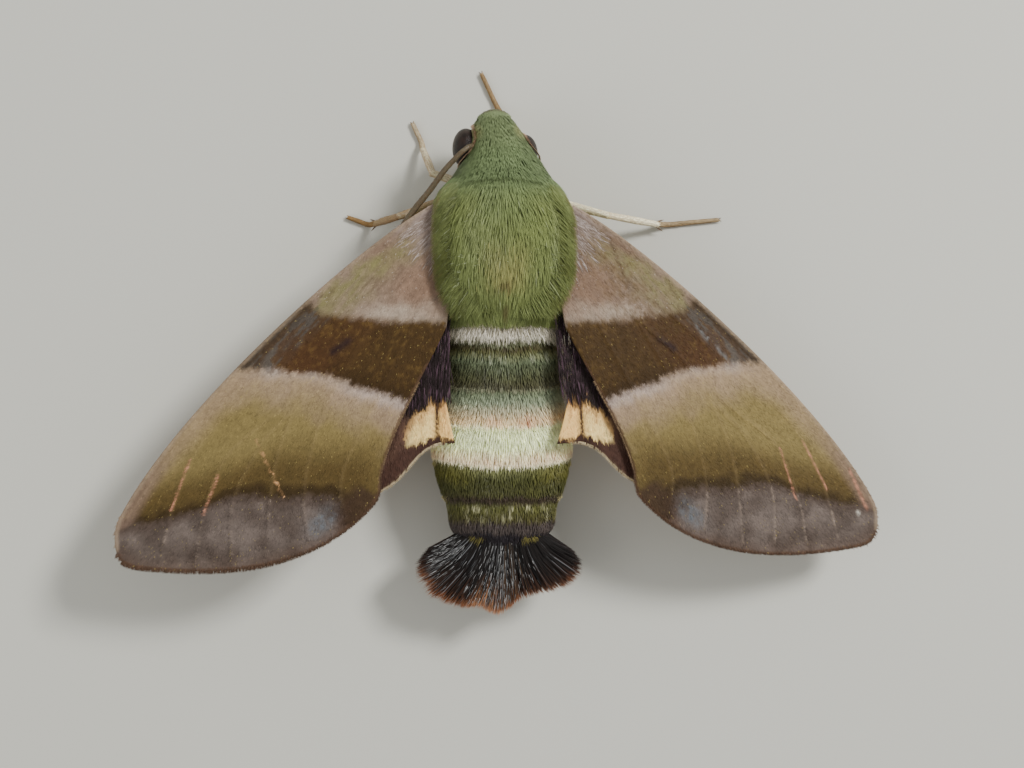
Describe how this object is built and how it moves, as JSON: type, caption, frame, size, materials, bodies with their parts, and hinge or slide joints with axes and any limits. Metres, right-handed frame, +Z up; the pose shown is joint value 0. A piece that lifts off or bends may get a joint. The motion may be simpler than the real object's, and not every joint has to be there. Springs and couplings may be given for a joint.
{
  "type": "hawk moth",
  "caption": "Hummingbird hawk moth at rest, life size: wings swept back in a triangle, green furry thorax, banded abdomen and dark tail fan.",
  "frame": {"origin": "floor level under the middle of the moth's overall box", "axes": "+X to the animal's right, across both wings; +Y from tail to head; +Z up from the ground"},
  "size_m": [0.0504, 0.0364, 0.01],
  "materials": {
    "green_coat": "matt, furry",
    "abdomen_coat": "matt scales with silky bands",
    "fan_scales": "silky black, rust tips",
    "forewing_scales": "matt scales",
    "hindwing_scales": "matt scales, hairy base",
    "eye": "glossy",
    "feeler_scales": "matt scales",
    "leg_scales": "matt scales",
    "tongue": "satin"
  },
  "bodies": {
    "root": {"head": "green_coat", "thorax": "green_coat", "tegula_left": "green_coat", "tegula_right": "green_coat", "palp_left": "green_coat", "palp_right": "green_coat", "abdomen_1": "abdomen_coat", "abdomen_2": "abdomen_coat", "abdomen_3": "abdomen_coat", "abdomen_4": "abdomen_coat", "abdomen_5": "abdomen_coat", "abdomen_6": "abdomen_coat", "abdomen_7": "abdomen_coat", "fan_left": "fan_scales", "fan_middle": "fan_scales", "fan_right": "fan_scales", "forewing_left": "forewing_scales", "forewing_right": "forewing_scales", "hindwing_left": "hindwing_scales", "hindwing_right": "hindwing_scales", "eye_left": "eye", "eye_right": "eye", "feeler_left": "feeler_scales", "feeler_right": "feeler_scales", "leg_fore_left_femur": "leg_scales", "leg_fore_left_tibia": "leg_scales", "leg_fore_left_tarsus": "leg_scales", "leg_fore_right_femur": "leg_scales", "leg_fore_right_tibia": "leg_scales", "leg_fore_right_tarsus": "leg_scales", "leg_mid_left_femur": "leg_scales", "leg_mid_left_tibia": "leg_scales", "leg_mid_left_tarsus": "leg_scales", "leg_mid_right_femur": "leg_scales", "leg_mid_right_tibia": "leg_scales", "leg_mid_right_tarsus": "leg_scales", "leg_hind_left_femur": "leg_scales", "leg_hind_left_tibia": "leg_scales", "leg_hind_left_tarsus": "leg_scales", "leg_hind_right_femur": "leg_scales", "leg_hind_right_tibia": "leg_scales", "leg_hind_right_tarsus": "leg_scales", "proboscis": "tongue"}
  },
  "joints": []
}
